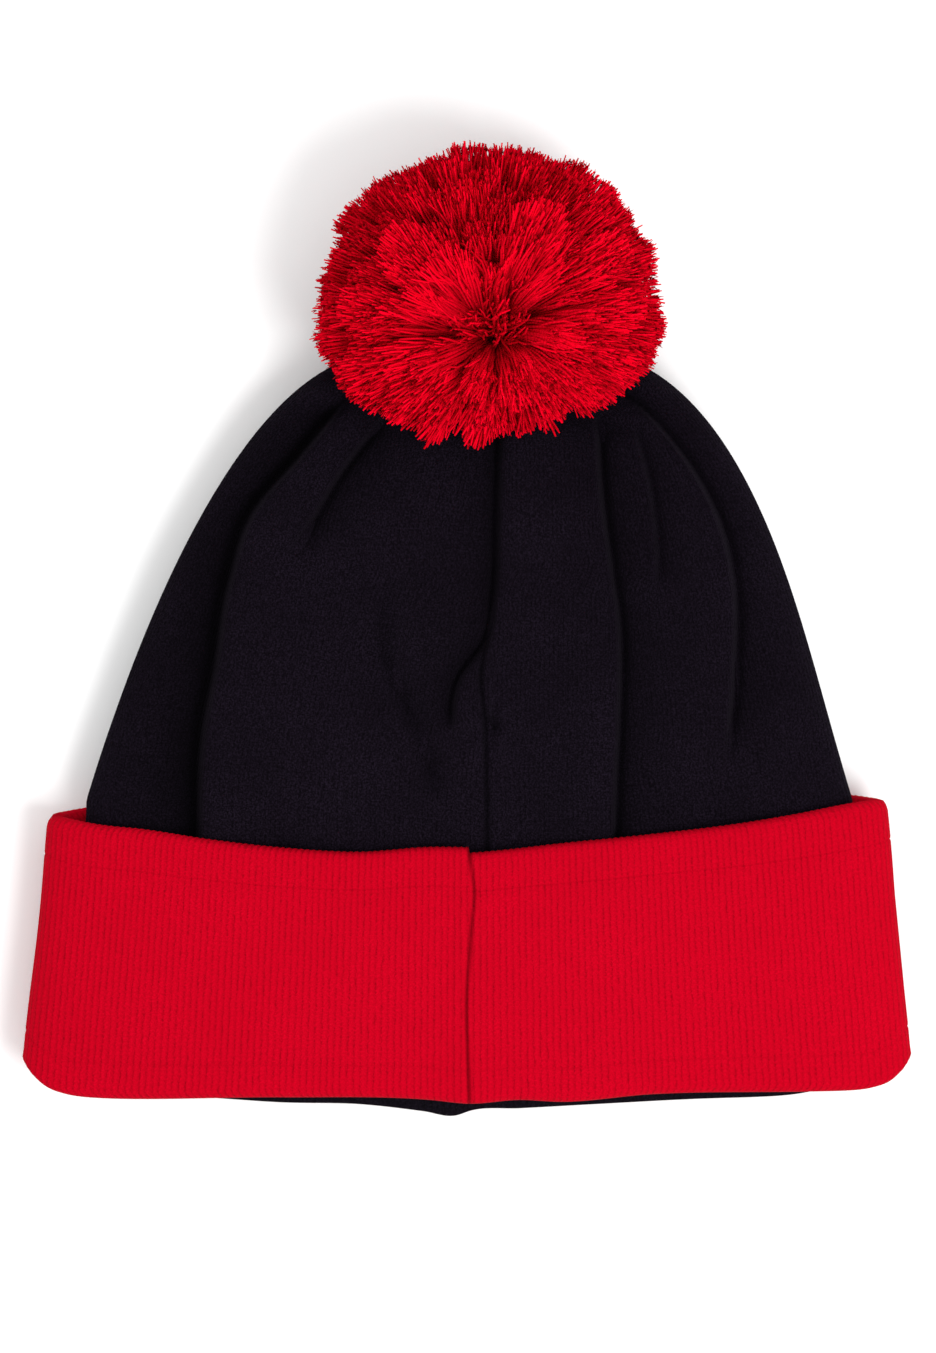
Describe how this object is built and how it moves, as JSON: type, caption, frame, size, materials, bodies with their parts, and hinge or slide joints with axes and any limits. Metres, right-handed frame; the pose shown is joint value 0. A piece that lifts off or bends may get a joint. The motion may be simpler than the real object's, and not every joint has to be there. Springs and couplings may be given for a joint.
{
  "type": "pom pom beanie",
  "caption": "Knitted pom pom beanie lying flat: black double-layer crown, red ribbed turned-up cuff and a full red yarn pom-pom tied through the gathered tip",
  "frame": {"origin": "middle of the bottom of the bounding box, on the surface that the hat lies on", "axes": "+Y from the folded hem to the pom-pom, +Z out of the back of the hat (it lies on its front), +X towards the wearer's right"},
  "size_m": [0.2396, 0.2629, 0.0797],
  "materials": {
    "black_knit": "matt fine rib-knitted acrylic yarn, soft fuzzy surface",
    "black_lining": "matt plain-knitted lining",
    "red_knit": "matt red rib-knitted acrylic yarn",
    "red_yarn": "cut red acrylic yarn with frayed ends",
    "black_thread": "twisted polyester thread",
    "red_thread": "twisted red yarn",
    "white_tape": "blank woven satin tape"
  },
  "bodies": {
    "crown": {"crown_shell": "black_knit", "lining_shell": "black_lining", "shell_back_seam": "black_thread", "lining_back_seam": "black_thread", "hem_linking_thread": "black_thread", "shell_gather_thread": "black_thread", "lining_gather_thread": "black_thread", "care_label": "white_tape", "label_stitch": "black_thread"},
    "cuff": {"cuff_band": "red_knit", "cuff_back_seam": "red_thread"},
    "knot": {"pom_anchor_knot": "red_thread"},
    "pom": {"pom_yarn_ball": "red_yarn", "pom_tie_cord": "red_thread"}
  },
  "joints": [
    {"name": "cuff_turn_down", "type": "slide", "parent": "crown", "child": "cuff", "axis": [0, -1, 0], "range_m": [0, 0.066]},
    {"name": "pom_sway", "type": "hinge", "parent": "crown", "child": "knot", "pos_m": [0.0055, 0.075, 0.0148], "axis": [0, 0, 1], "range_deg": [-20, 20]},
    {"name": "pom_nod", "type": "hinge", "parent": "knot", "child": "pom", "pos_m": [0.0055, 0.075, 0.0148], "axis": [1, 0, 0], "range_deg": [0, 15]}
  ]
}
